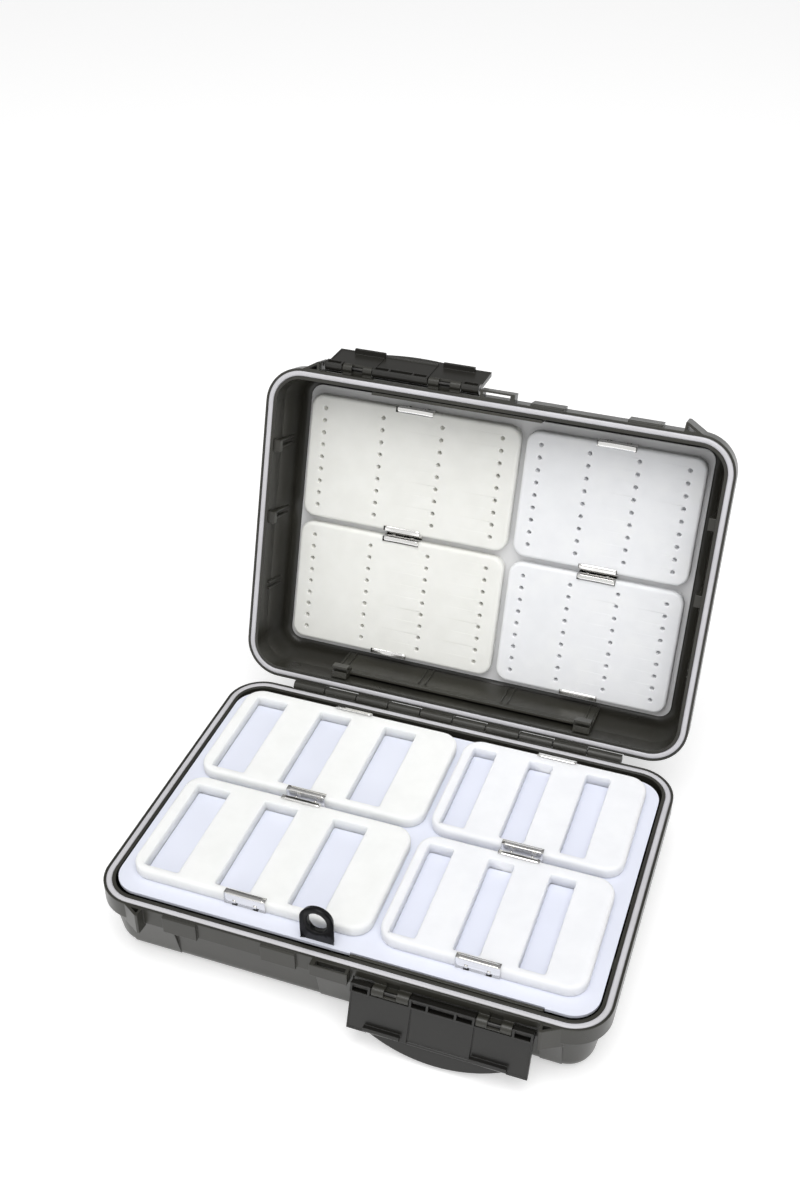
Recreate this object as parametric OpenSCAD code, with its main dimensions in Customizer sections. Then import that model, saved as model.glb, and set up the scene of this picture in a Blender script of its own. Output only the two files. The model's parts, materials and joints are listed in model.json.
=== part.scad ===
// Waterproof fly box: two equal shells on a rear hinge, one latch on each shell,
// a lift-up foam tray over the base and a fixed foam board in the lid.
// Millimetres.  +X right, +Y towards the hinge, +Z up.  The box stands open on its feet.
// Inside the "closed case" frame the parting plane is z = 0 and the box centre is x = y = 0.

/* [Case] */
// Width over the rim
case_w = 234.8; // [232:0.2:244]
// Depth over the rim, front to back
case_d = 164.8; // [162:0.2:172]
// Height of one shell from the parting plane to its outer floor
shell_h = 35.2; // [34:0.2:42]
// Outer corner radius of the rim
corner_r = 18.5; // [17:0.5:22]
// Height of the thick band under the rim
band_h = 9.5; // [8.8:0.1:10.6]
// How far the lower walls stand back from the band
band_step = 3; // [2:0.1:3.4]
// Width of the rim from the outside to the cavity
rim_w = 5.4; // [5.2:0.1:6]
// Thickness of the floor
floor_t = 2.2; // [1.8:0.1:3]
// How far the outer walls lean in towards the floor
wall_lean = 2.6; // [1:0.1:3]
// Radius between the outer walls and the floor
edge_r = 8; // [5:0.5:9]
// Gap left between the two rims when the box is shut
rim_gap = 0.9; // [0.7:0.1:1.4]

/* [Seal] */
// Width of the seal strip
gasket_w = 2.8; // [2:0.1:3]
// Width of the rim left outside the seal
gasket_lip = 1.1; // [0.9:0.1:1.3]
// Height of the seal strip
gasket_h = 2.4; // [1.6:0.1:3]
// How far the seal stands above the rim
gasket_proud = 0.3; // [0.1:0.05:0.32]

/* [Rear hinge] */
// Distance of the hinge axis behind the rim
hinge_out = 2.3; // [2.1:0.1:3]
// Distance of the hinge axis below the parting plane
hinge_drop = 0.5; // [0:0.1:0.6]
// Knuckles on each shell
knuckle_n = 5; // [3:1:5]
// Distance between the knuckles of one shell
knuckle_pitch = 35.3; // [30:0.1:36]
// Outer radius of a knuckle
knuckle_r = 2.6; // [2.4:0.05:2.8]
// Gap between neighbouring knuckles
knuckle_gap = 0.5; // [0.3:0.1:1]
// Radius of the hinge pin
hinge_pin_r = 1.2; // [0.9:0.05:1.4]
// How far the lid is swung open at rest, in degrees
lid_open = 107.8; // [95:0.1:115]

/* [Latches] */
// Distance of a latch from the middle of the box
latch_from = 9.5; // [9:0.1:12]
// Width of a latch
latch_w = 79.6; // [76:0.2:80]
// Latch axis to the free edge of the plate
latch_len = 20.4; // [20:0.1:22]
// Distance of the latch axis in front of the rim
latch_out = 2.8; // [2.6:0.1:3.4]
// Distance of the latch axis from the parting plane
latch_drop = 6.4; // [6:0.1:6.8]
// Thickness of the latch plate
latch_t = 2; // [1.6:0.1:2.4]
// Radius of the latch barrels
barrel_r = 2.3; // [2.1:0.05:2.5]
// Radius of the latch pins
latch_pin_r = 1; // [0.8:0.05:1.2]
// Reach of the pull edge beyond the plate
pull_reach = 7.8; // [5:0.1:10]
// Width of one hook and of its catch
hook_w = 16.2; // [12:0.2:17]
// How far the catches stand out of the rim
catch_out = 1.2; // [0.8:0.1:1.4]
// Tilt of the open base latch from straight down, in degrees
base_latch_tilt = 19.3; // [10:0.1:25]
// Tilt of the open lid latch from its shell, in degrees
lid_latch_tilt = 13.9; // [10:0.1:25]

/* [Strap block and lanyard eyes] */
// Width of the strap block
strap_block_w = 17.2; // [16.4:0.2:18]
// How far the strap block stands out of the rim
strap_block_out = 4; // [3.8:0.1:5]
// Width of the slot through the strap block
strap_slot_w = 13.6; // [10:0.2:14]
// Depth of the slot through the strap block
strap_slot_d = 2.2; // [1.6:0.1:2.4]
// Distance of a lanyard eye from the middle of the box
eye_from = 90.4; // [90.2:0.1:91]
// Length of a lanyard eye along the rim
eye_len = 10.6; // [9:0.2:12]
// How far a lanyard eye stands out
eye_out = 4.4; // [3.8:0.1:5]

/* [Feet] */
// Radius of a rubber foot
foot_r = 7.2; // [6:0.1:8]
// How far a foot stands below the floor
foot_out = 1; // [0.6:0.1:3]
// How deep a foot sits in its seat
foot_seat = 1; // [0.6:0.1:1.4]

/* [Foam tray] */
// Thickness of the tray plate
plate_t = 1.5; // [1.2:0.1:1.6]
// Gap between the tray plate and the side walls
plate_gap = 0.8; // [0.5:0.1:1.4]
// Gap between the tray plate and the front wall
plate_gap_front = 2; // [1.9:0.1:2.6]
// Gap between the tray plate and the rear wall, which leaves the plate room to turn
plate_gap_rear = 4.6; // [4.4:0.1:5]
// How far the top of the tray plate lies below the parting plane
plate_drop = 0.3; // [0.2:0.1:0.6]
// Thickness of the foam
foam_t = 6; // [5:0.1:6.6]
// Gap between the left and right foam panels
foam_gap_x = 3.8; // [3:0.1:5]
// Gap between the front and rear foam panels
foam_gap_y = 4.4; // [4:0.1:5.4]
// Middle of the gap between left and right panels
foam_mid_x = 11.2; // [8:0.1:14]
// Distance of the foam from the left wall
foam_from_left = 6.7; // [5:0.1:8]
// Distance of the foam from the right wall
foam_from_right = 7.3; // [5:0.1:8]
// Distance of the foam from the front wall
foam_from_front = 10.4; // [9.4:0.1:12]
// Distance of the foam from the rear wall
foam_from_rear = 8.4; // [8:0.1:10]
// Corner radius of the foam panels
foam_r = 9; // [6:0.5:12]
// Radius of the foam's top edge
foam_edge = 1.8; // [1:0.1:2.4]
// Width of the openings in the left panels
slot_left_w = 17; // [14:0.2:18]
// Width of the openings in the right panels
slot_right_w = 11.7; // [9:0.1:13]
// Foam in front of an opening
slot_front = 3.7; // [3:0.1:6]
// Foam behind an opening
slot_behind = 6.3; // [3:0.1:8]
// Foam left of the first opening of a left panel
slot_left_first = 6.1; // [4:0.1:9]
// Foam right of the last opening of a left panel
slot_left_last = 21.5; // [14:0.1:24]
// Foam left of the first opening of a right panel
slot_right_first = 4.9; // [4:0.1:9]
// Foam right of the last opening of a right panel
slot_right_last = 17.8; // [12:0.1:20]

/* [Lid board] */
// Thickness of the sticky pads between the lid board and the lid's floor
pad_t = 0.5; // [0.3:0.1:2.5]
// Gap between the lid board and the flat of the lid's floor
board_gap = 0.3; // [0.1:0.1:1]
// Gap between the left and right lid panels
board_gap_x = 3.1; // [3:0.1:4.4]
// Gap between the front and rear lid panels
board_gap_y = 3.4; // [3:0.1:4.4]
// Board left free on each side of the lid panels
board_side = 2.3; // [1.6:0.1:4]
// Board left free in front of the lid panels
board_front = 3.8; // [2.6:0.1:5]
// Board left free behind the lid panels
board_behind = 3.2; // [2.6:0.1:5]
// Holes in each row of a lid panel
hole_n = 9; // [6:1:9]
// Distance of a row's end holes from the panel's edge
hole_end = 6.7; // [5:0.1:9]
// Radius of the holes
hole_r = 1; // [0.6:0.1:1.4]
// Distance of the first row from a left panel's edge
row_left_first = 8.1; // [5:0.1:12]
// Distance of the last row from a left panel's edge
row_left_last = 9.1; // [5:0.1:12]
// Distance of the first row from a right panel's edge
row_right_first = 7.6; // [5:0.1:12]
// Distance of the last row from a right panel's edge
row_right_last = 8.2; // [5:0.1:12]

/* [Clips] */
// Width of a foam clip
clip_w = 19.6; // [14:0.2:22]
// Thickness of the clip steel
clip_t = 0.4; // [0.3:0.05:0.5]
// How far a clip reaches over the foam
clip_reach = 2.6; // [1.6:0.1:3.4]
// Width of a tab under a clip
clip_tab_w = 2.4; // [1.6:0.1:3]
// Distance between the two tabs under a clip
clip_tab_pitch = 10; // [6:0.1:11]

/* [Finger ring] */
// Width of the finger ring
ring_w = 14.6; // [12:0.2:18]
// Height of the finger ring above the plate
ring_h = 19.6; // [16:0.2:21]
// Thickness of the finger ring
ring_t = 2.4; // [1.8:0.1:3]
// Middle of the finger ring
ring_x = -11; // [-20:0.5:-4]

/* [Rails] */
// Thickness of a rail
rail_t = 1.3; // [1:0.1:1.5]
// Gap between a front rail and its wall
rail_gap = 0.5; // [0.3:0.1:0.8]
// Gap between a rear rail and its wall
rear_rail_gap = 1.6; // [1.2:0.1:1.8]
// Length of the rear rail
rear_rail_w = 139; // [130:1:142]
// Distance of the rear rail's edge from the parting plane
rear_rail_top = 8; // [7:0.1:9]
// Distance of the base's front rail from the middle of the box
front_rail_from = 5; // [3:0.5:12]
// Length of the base's front rail
front_rail_w = 85; // [70:0.5:90]
// Distance of the lid's front rail from the middle of the box
lid_rail_from = -24; // [-30:0.5:-10]
// Length of the lid's front rail
lid_rail_w = 86; // [70:0.5:90]
// Radius of the tray pivots
pivot_r = 1.2; // [1:0.1:1.4]

/* [Hidden] */

shell_color = "#57584f";
steel_color = "#c9cbc8";
$fn = 48;
eps = 0.01;
play = 0.05;        // radial play of every pin
fit_gap = 0.3;      // gap between pieces that move past each other
side_gap = 0.4;     // gap beside a latch barrel
shelf_gap = 0.1;    // gap between the tray plate and its shelves

// ---- case ----
rim_z = -rim_gap / 2;
rim_x = case_w / 2;
rim_y = case_d / 2;
body_w = case_w - 2 * band_step;
body_d = case_d - 2 * band_step;
body_r = corner_r - band_step;
in_w = case_w - 2 * rim_w;
in_d = case_d - 2 * rim_w;
in_r = corner_r - rim_w;
in_x = in_w / 2;
in_y = in_d / 2;
straight_h = 12;                       // upright part of the cavity walls
in_lean = wall_lean - 0.1;
in_edge = edge_r - 3.5;
in_depth = shell_h - floor_t;
lean_h = in_depth - straight_h - in_edge;
flat_x = in_x - in_lean - in_edge;     // half width of the flat floor
flat_y = in_y - in_lean - in_edge;
shelf_at = [-41, -3];                  // the shelves along each side wall
rib_at = 36;                           // the pair of ribs behind them

// ---- rear hinge ----
hinge_y = rim_y + hinge_out;
hinge_z = -hinge_drop;
knuckle_first = knuckle_pitch / 4 - (knuckle_n - 1) / 2 * knuckle_pitch;
knuckle_len = knuckle_pitch / 2 - knuckle_gap;
hinge_len = knuckle_n * knuckle_pitch;
knuckle_web = 6;
knuckle_slot = [6, 1.2, 2];

// ---- feet ----
foot_in = corner_r;                    // each foot is centred on its corner's radius
foot_rim = 0.8;                        // wall round a foot's seat
foot_boss_h = edge_r + 1.2;

// ---- latch ----
latch_y = -rim_y - latch_out;
latch_z = -latch_drop;
latch_to = latch_from + latch_w;
latch_in = 0.8;                        // inner face of the plate, from the axis
end_barrel = 8.9;
barrel_flat = 0.1;                     // the barrels' boxed side stands this far off their round
knuckle_w = 15;
mid_from = latch_from + end_barrel + knuckle_w + 2 * side_gap + 1.5;
mid_to = latch_to - end_barrel - knuckle_w - 2 * side_gap - 0.2;
latch_barrels = [[latch_from, latch_from + end_barrel], [mid_from, mid_to],
                 [latch_to - end_barrel, latch_to]];
latch_gaps = [[latch_from + end_barrel, mid_from], [mid_to, latch_to - end_barrel]];
catch_z = -(band_h + 0.7);             // far edge of a catch
hook_u = latch_drop - catch_z + fit_gap;   // hook face, from the latch axis
hook_out = latch_in + 2.6;
hook_t = 2.2;
hook_starts = [mid_from - hook_w - 2.2, mid_to];
bow_half = 31.5;
bow_x = (latch_from + latch_to) / 2 - 0.6;
bow_r = (bow_half * bow_half + pull_reach * pull_reach) / (2 * pull_reach);

// ---- tray ----
plate_top = -plate_drop;
plate_low = plate_top - plate_t;
plate_w = in_w - 2 * plate_gap;
plate_front = plate_gap_front - in_y;
plate_rear = in_y - plate_gap_rear;
plate_r = in_r - plate_gap;
tray_x0 = foam_from_left - in_x;
tray_x1 = foam_mid_x + foam_gap_x / 2;
tray_left_w = foam_mid_x - foam_gap_x / 2 - tray_x0;
tray_right_w = in_x - foam_from_right - tray_x1;
tray_front_y = foam_from_front - in_y;
tray_rear_end = in_y - foam_from_rear;
tray_foam_d = (tray_rear_end - tray_front_y - foam_gap_y) / 2;
tray_rear_y = tray_rear_end - tray_foam_d;
tray_left_clip = tray_x0 + tray_left_w / 2;
tray_right_clip = tray_x1 + tray_right_w / 2;
slot_n = 3;                            // openings in one panel
slot_len = tray_foam_d - slot_front - slot_behind;
slot_left_pitch = (tray_left_w - slot_left_first - slot_left_last - slot_left_w) / (slot_n - 1);
slot_right_pitch = (tray_right_w - slot_right_first - slot_right_last - slot_right_w) / (slot_n - 1);
pivot_y = plate_rear;                  // the pivots lie under the plate's rear edge
pivot_z = plate_low - 1.9;
hook_x = 8.5;                          // width of a pivot hook
pivot_x = rear_rail_w / 2 - hook_x;    // inner face of a pivot hook
hook_reach = pivot_r + 0.9;            // how far a hook reaches past the pivot's axis
hinge_block_w = 22;

// ---- lid board ----
board_z = in_depth - pad_t - plate_t;  // depth of the board's face
board_x = flat_x - board_gap;          // half width of the board
board_y = flat_y - board_gap + 0.5;    // half depth, a little up the floor's rounded edge
board_x0 = board_side - board_x;
board_x1 = foam_mid_x + board_gap_x / 2;
board_left_w = foam_mid_x - board_gap_x / 2 - board_x0;
board_right_w = board_x - board_side - board_x1;
board_front_y = board_front - board_y;
board_rear_end = board_y - board_behind;
board_foam_d = (board_rear_end - board_front_y - board_gap_y) / 2;
board_rear_y = board_rear_end - board_foam_d;
board_left_clip = board_x0 + board_left_w / 2;
board_right_clip = board_x1 + board_right_w / 2;
row_n = 4;                             // rows of holes in one panel
row_left_pitch = (board_left_w - row_left_first - row_left_last) / (row_n - 1);
row_right_pitch = (board_right_w - row_right_first - row_right_last) / (row_n - 1);
hole_pitch = (board_foam_d - 2 * hole_end) / (hole_n - 1);

// ---- whole box: the origin is under the middle of the open box ----
stand = shell_h + foot_out;
pull_tip = latch_len + pull_reach;
pull_in = latch_t - latch_in - 0.3;    // inner face of the pull edge, from the axis
hook_tip = [-hook_out, hook_u + hook_t - 0.8];
function tilted(t, p) = [p[0] * cos(t) - p[1] * sin(t), p[0] * sin(t) + p[1] * cos(t)];
function swung_y(p) = hinge_y + (p[0] - hinge_y) * cos(lid_open) + (p[1] - hinge_z) * sin(lid_open);
front_end = latch_y + min(tilted(base_latch_tilt, hook_tip)[0],
                          tilted(base_latch_tilt, [pull_in, pull_tip])[0]);
back_end = swung_y([latch_y, latch_drop] + tilted(lid_latch_tilt, [pull_in, pull_tip]));
mid_y = (front_end + back_end) / 2;

module in_case() { translate([0, -mid_y, stand]) children(); }
module in_lid() {
  in_case() translate([0, hinge_y, hinge_z]) rotate([-lid_open, 0, 0])
    translate([0, -hinge_y, -hinge_z]) children();
}
// the lid is the base turned half round about the front-to-back axis
module flipped() { rotate([0, 180, 0]) children(); }

// ---------------------------------------------------------------- outlines
module round_rect(w, d, r) {
  square([w - 2 * r, d], center = true);
  square([w, d - 2 * r], center = true);
  for (sx = [-1, 1], sy = [-1, 1]) translate([sx * (w / 2 - r), sy * (d / 2 - r)]) circle(r);
}
module slab(w, d, r, z0, z1) {
  translate([0, 0, z0]) linear_extrude(z1 - z0) round_rect(w, d, r);
}
// a 2D profile carried round a rounded rectangle: profile x is outwards, y is up
module ring_of(w, d, r) {
  for (i = [0:3]) rotate([0, 0, 90 * i]) {
    along = (i % 2 == 0) ? d : w;
    across = (i % 2 == 0) ? w : d;
    translate([across / 2, along / 2 - r, 0]) rotate([90, 0, 0])
      linear_extrude(along - 2 * r) children();
    translate([across / 2 - r, along / 2 - r, 0]) rotate_extrude(angle = 90)
      translate([r, 0]) children();
  }
}
// a 2D profile carried along X from x0 to x1: profile x is forwards (-Y), y is up
module bar(x0, x1, y) {
  translate([x1, y, 0]) rotate([0, 0, -90]) rotate([90, 0, 0]) linear_extrude(x1 - x0) children();
}
module wall_profile(r, h, lean, edge) {
  tilt = atan(lean / (h - edge));
  centre_x = -lean - edge / cos(tilt);
  steps = 8;
  polygon([[-r, 0], [0, 0],
    for (i = [0:steps]) let (a = tilt + (90 - tilt) * i / steps)
      [centre_x + edge * cos(a), -(h - edge) - edge * sin(a)],
    [-r, -h]]);
}
// a block with leaning sides and a rounded lower edge, top face at z = 0
module dish(w, d, r, h, lean, edge) {
  skirt = lean + edge + 2;
  inset = skirt - 1;
  ring_of(w, d, r) wall_profile(skirt, h, lean, edge);
  slab(w - 2 * inset, d - 2 * inset, r - inset, -h, 0);
}

// ---------------------------------------------------------------- shells
module shell_solid() {
  slab(case_w, case_d, corner_r, -band_h, rim_z);
  ring_of(case_w, case_d, corner_r) translate([0, -band_h])
    polygon([[-band_step, 0], [0, 0], [-band_step, -band_step]]);
  translate([0, 0, -band_h]) dish(body_w, body_d, body_r, shell_h - band_h, wall_lean, edge_r);
}
module shell_cavity() {
  slab(in_w, in_d, in_r, -straight_h - eps, 1);
  translate([0, 0, -straight_h]) dish(in_w, in_d, in_r, in_depth - straight_h, in_lean, in_edge);
  seal_w = case_w - 2 * gasket_lip;
  seal_d = case_d - 2 * gasket_lip;
  seal_r = corner_r - gasket_lip;
  translate([0, 0, rim_z + gasket_proud - gasket_h]) linear_extrude(gasket_h) difference() {
    round_rect(seal_w, seal_d, seal_r);
    round_rect(seal_w - 2 * gasket_w, seal_d - 2 * gasket_w, seal_r - gasket_w);
  }
}
// stretches of the front wall that stay flush with the band
module front_pads() {
  pad_back = 6;
  for (span = [[-eye_from - 9.6, -eye_from + 13.4], [-strap_block_w / 2 - 0.5, strap_block_w / 2 - 0.3],
               [latch_to + 1.3, eye_from + 9.6]])
    bar(span[0], span[1], -rim_y + 0.4) intersection() {
      translate([0, -band_h + 1]) wall_profile(corner_r, shell_h - band_h + 1, wall_lean + 2, edge_r);
      translate([-pad_back, -shell_h + 3]) square([pad_back, shell_h]);
    }
}
module catches() {
  for (x = hook_starts) bar(-x - hook_w, -x, -rim_y)
    polygon([[-band_step, catch_z], [catch_out, catch_z], [catch_out, rim_z - 0.9],
             [catch_out - 0.5, rim_z - 0.4], [-band_step, rim_z - 0.4]]);
}
module strap_block() {
  block_h = 6.6;
  difference() {
    translate([-strap_block_w / 2 - 0.9, -rim_y - strap_block_out, rim_z - block_h])
      cube([strap_block_w, strap_block_out + 1, block_h]);
    translate([-strap_slot_w / 2 - 0.5, -rim_y - strap_slot_d - 0.9, rim_z - block_h - 1])
      cube([strap_slot_w, strap_slot_d, block_h + 2]);
  }
}
module lanyard_eye() {
  eye_h = 11.5;
  wall = 1.3;
  difference() {
    translate([0, 0, rim_z - eye_h]) linear_extrude(eye_h)
      polygon([[0, 1], [0.4, -eye_out], [1.6, -eye_out], [eye_len, 1]]);
    translate([0, 0, rim_z - eye_h - 1]) linear_extrude(eye_h + 2)
      polygon([[wall, -0.6], [wall + 0.2, -eye_out + wall + 0.3], [wall + 0.7, -eye_out + wall + 0.3],
               [eye_len - 5, -0.6]]);
    translate([-1, -eye_out, rim_z - eye_h]) rotate([-45 + 12, 0, 0]) translate([0, -8, -6])
      cube([eye_len + 2, 16, 6]);
  }
}
module lanyard_eyes() {
  translate([eye_from, -rim_y, 0]) lanyard_eye();
  mirror([1, 0, 0]) translate([eye_from, -rim_y, 0]) lanyard_eye();
}
// knuckles that carry the latch
module latch_knuckles() {
  for (g = latch_gaps) {
    x0 = g[0] + side_gap;
    x1 = g[1] - side_gap;
    translate([x0, latch_y, latch_z]) rotate([0, 90, 0]) cylinder(r = barrel_r, h = x1 - x0);
    translate([x0, latch_y, latch_z - barrel_r])
      cube([x1 - x0, latch_out + band_step + 0.6, 2 * barrel_r - 0.8]);
  }
}
// each knuckle is open at the top in its middle, and the opening runs on into the band
module knuckle_windows() {
  window_w = 5.8;
  window_h = 3.9;
  into_band = 0.9;
  for (g = latch_gaps)
    translate([(g[0] + g[1] - window_w) / 2, latch_y - barrel_r - 0.4, latch_z - 0.3])
      cube([window_w, barrel_r + 0.4 + latch_out + into_band, window_h]);
}
module latch_clearance() {
  for (b = latch_barrels)
    translate([b[0] - side_gap, latch_y, latch_z]) rotate([0, 90, 0])
      cylinder(r = barrel_r * 1.42 + fit_gap, h = b[1] - b[0] + 2 * side_gap);
}
module latch_bore() {
  translate([latch_from - 2, latch_y, latch_z]) rotate([0, 90, 0])
    cylinder(r = latch_pin_r + play, h = latch_w + 4);
}
// rear knuckles; dz is the height of the hinge axis in this shell
module hinge_knuckles(dz) {
  for (k = [0:knuckle_n - 1]) {
    x = knuckle_first + k * knuckle_pitch - knuckle_len / 2;
    difference() {
      union() {
        translate([x, hinge_y, dz]) rotate([0, 90, 0]) cylinder(r = knuckle_r, h = knuckle_len);
        translate([x + knuckle_len, hinge_y, dz]) rotate([0, 0, 90]) rotate([90, 0, 0]) mirror([0, 0, 1])
          linear_extrude(knuckle_len)
            polygon([[-hinge_out - 1, -knuckle_web], [0, -knuckle_web], [knuckle_r, -knuckle_r * 0.8],
                     [knuckle_r, 0], [0, 0], [-hinge_out - 1, -1.6]]);
      }
      translate([x + knuckle_len / 2 - knuckle_slot[0] / 2, hinge_y + knuckle_r - knuckle_slot[1], dz - 3.4])
        cube([knuckle_slot[0], 4, knuckle_slot[2]]);
    }
  }
}
module hinge_clearance(dz) {
  for (k = [0:knuckle_n - 1]) {
    x = -knuckle_first - k * knuckle_pitch - knuckle_len / 2 - knuckle_gap;
    translate([x, hinge_y, dz]) rotate([0, 90, 0])
      cylinder(r = knuckle_r + fit_gap, h = knuckle_len + 2 * knuckle_gap);
  }
}
module hinge_bore(dz) {
  translate([-hinge_len / 2 - 4, hinge_y, dz]) rotate([0, 90, 0])
    cylinder(r = hinge_pin_r + play, h = hinge_len + 8);
}
module foot_seats() {
  for (sx = [-1, 1], sy = [-1, 1]) translate([sx * (rim_x - foot_in), sy * (rim_y - foot_in), -shell_h])
    children();
}
module both_sides() {
  children();
  mirror([1, 0, 0]) children();
}
// two thin ribs down a side wall, standing out by top_out at the top
module wall_ribs(y, top, top_out, share) {
  low = straight_h + lean_h * share;
  low_x = -in_lean * share;
  both_sides() for (dy = [-2.2, 1.2]) translate([in_x, y + dy, 0]) rotate([-90, 0, 0])
    linear_extrude(1) polygon([[0.4, top], [-top_out, top], [low_x - 0.4, low], [low_x + 0.4, low]]);
}
// small shelf under the tray plate
module side_shelf(y) {
  reach = 3.4;
  shelf_t = 3.6;
  both_sides() translate([in_x - reach, y - 3, plate_low - shelf_gap - shelf_t])
    cube([reach + 0.4, 6, shelf_t]);
  wall_ribs(y, -plate_low + 1, 2, 0.7);
}
module shell(dz) {
  panel = [150, 84, 0.6];
  difference() {
    union() {
      difference() {
        union() {
          shell_solid();
          front_pads();
          catches();
          foot_seats() cylinder(r = foot_r + foot_rim, h = foot_boss_h);
        }
        shell_cavity();
        latch_clearance();
        hinge_clearance(dz);
        slab(panel[0], panel[1], 12, -shell_h - 1, -shell_h + panel[2]);
      }
      strap_block();
      lanyard_eyes();
      latch_knuckles();
      hinge_knuckles(dz);
      for (y = shelf_at) side_shelf(y);
      wall_ribs(rib_at, rear_rail_top, 1.1, 0.6);
    }
    knuckle_windows();
    latch_bore();
    hinge_bore(dz);
    foot_seats() translate([0, 0, -1]) cylinder(r = foot_r + 0.1, h = foot_seat + 1);
  }
}
module base_shell() { color(shell_color) in_case() shell(hinge_z); }
module lid_shell() { color(shell_color) in_lid() flipped() shell(-hinge_z); }

module gasket() {
  round_r = min(gasket_w, gasket_h) / 2 - 0.1;
  ring_of(case_w - 2 * gasket_lip, case_d - 2 * gasket_lip, corner_r - gasket_lip)
    translate([-gasket_w, rim_z + gasket_proud - gasket_h]) {
      square([gasket_w, gasket_h - round_r]);
      translate([round_r, 0]) square([gasket_w - 2 * round_r, gasket_h]);
      for (x = [round_r, gasket_w - round_r]) translate([x, gasket_h - round_r]) circle(round_r);
    }
}
module base_gasket() { color("#c4c4ca") in_case() gasket(); }
module lid_gasket() { color("#c4c4ca") in_lid() flipped() gasket(); }

module base_feet() {
  color("#2c2c2c") in_case() foot_seats() translate([0, 0, -foot_out])
    cylinder(r = foot_r, h = foot_out + foot_seat);
}
module hinge_pin() {
  color(steel_color) in_case() translate([-hinge_len / 2 + 0.5, hinge_y, hinge_z]) rotate([0, 90, 0])
    cylinder(r = hinge_pin_r, h = hinge_len - 1);
}
module latch_pin() {
  translate([latch_from + 1, latch_y, latch_z]) rotate([0, 90, 0])
    cylinder(r = latch_pin_r, h = latch_w - 2);
}
module base_latch_pin() { color(steel_color) in_case() latch_pin(); }
module lid_latch_pin() { color(steel_color) in_lid() flipped() latch_pin(); }

// ---------------------------------------------------------------- latches
// drawn hanging straight down from its axis, inner face towards -Y
module latch_pockets() {
  pocket = [2.3 + latch_pin_r, 3];
  splits = [0.26, 0.69];
  rib = 1;
  w = mid_to - mid_from;
  spans = [[latch_from + rib, latch_from + end_barrel - rib],
           [mid_from + rib, mid_from + splits[0] * w],
           [mid_from + splits[0] * w + rib, mid_from + splits[1] * w],
           [mid_from + splits[1] * w + rib, mid_to - rib],
           [latch_to - end_barrel + rib, latch_to - rib]];
  for (s = spans) translate([s[0], -barrel_r - 1, -pocket[1] / 2])
    cube([s[1] - s[0], pocket[0] + 0.4, pocket[1]]);
}
module latch_body() {
  out = latch_t - latch_in;
  difference() {
    union() {
      translate([latch_from, -latch_in, -latch_len]) cube([latch_w, latch_t, latch_len]);
      for (b = latch_barrels) {
        translate([b[0], 0, 0]) rotate([0, 90, 0]) cylinder(r = barrel_r, h = b[1] - b[0]);
        translate([b[0], -barrel_r - barrel_flat, -barrel_r + barrel_flat])
          cube([b[1] - b[0], barrel_r, 2 * (barrel_r - barrel_flat)]);
      }
      // hooks
      for (x = hook_starts) translate([x, 0, 0]) rotate([90, 0, 90]) linear_extrude(hook_w)
        polygon([[0, -hook_u], [-hook_out, -hook_u], [-hook_out, -hook_u - hook_t + 0.8],
                 [-hook_out + 0.8, -hook_u - hook_t], [0, -hook_u - hook_t]]);
      // bead under the middle field
      translate([mid_from + 0.9, -latch_in, -latch_len + 1]) rotate([0, 90, 0])
        cylinder(r = 0.8, h = mid_to - mid_from - 0.9);
      // raised borders of the side fields
      for (x = [latch_from, latch_to - 0.7])
        translate([x, -latch_in - 0.3, -latch_len]) cube([0.7, 1, latch_len - barrel_r]);
      for (x = [latch_from, latch_to - 9])
        translate([x, -latch_in - 0.3, -latch_len]) cube([9, 1, 0.7]);
      // bowed pull edge
      translate([bow_x, out - 0.3 + 1.9, -pull_tip + bow_r]) rotate([90, 0, 0]) linear_extrude(1.9)
        intersection() {
          circle(bow_r, $fn = 120);
          translate([0.6 - bow_half, -bow_r]) square([2 * (bow_half - 0.6), pull_reach + 2.4]);
        }
    }
    // room for the shell's knuckles
    for (g = latch_gaps) translate([g[0], 0, 0]) rotate([0, 90, 0])
      cylinder(r = barrel_r + fit_gap + 0.05, h = g[1] - g[0]);
    // everything of the plate above the axis goes
    for (g = latch_gaps) translate([g[0], -4, -0.5]) cube([g[1] - g[0], 8, 6]);
    latch_pockets();
    // fine grooves between the three fields
    for (x = [mid_from + 0.9, mid_to]) translate([x - 0.3, -latch_in - 1, -latch_len - 1])
      cube([0.6, 1.4, latch_len - barrel_r]);
    translate([latch_from - 1, 0, 0]) rotate([0, 90, 0])
      cylinder(r = latch_pin_r + play, h = latch_w + 2);
  }
}
module base_latch() {
  color(shell_color) in_case() translate([0, latch_y, latch_z]) rotate([-base_latch_tilt, 0, 0])
    latch_body();
}
module lid_latch() {
  color(shell_color) in_lid() flipped() translate([0, latch_y, latch_z])
    rotate([-lid_latch_tilt, 0, 0]) latch_body();
}

// ---------------------------------------------------------------- rails
// profile of a strip that follows the cavity wall; x is the distance out of the case
module strip_profile(gap, top, low) {
  face = -gap;
  low_x = -in_lean * (low - straight_h) / lean_h;
  polygon([[face, -top], [face, -straight_h], [face + low_x, -low], [face + low_x - rail_t, -low],
           [face - rail_t, -straight_h], [face - rail_t, -top]]);
}
module pad_profile(gap, z0, z1) {
  x0 = -in_lean * (z0 - straight_h) / lean_h;
  x1 = -in_lean * (z1 - straight_h) / lean_h;
  polygon([[x0, -z0], [x1, -z1], [x1 - gap - 0.4, -z1], [x0 - gap - 0.4, -z0]]);
}
// pads along a rail from x0 to x1 that hold it off its wall
module rail_pads(x0, x1, gap, z0) {
  pad = [8, 6];
  inset = 14;
  for (x = [x0 + inset, (x0 + x1) / 2, x1 - inset])
    bar(x - pad[0] / 2, x + pad[0] / 2, -in_y) pad_profile(gap, z0, z0 + pad[1]);
}
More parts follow.
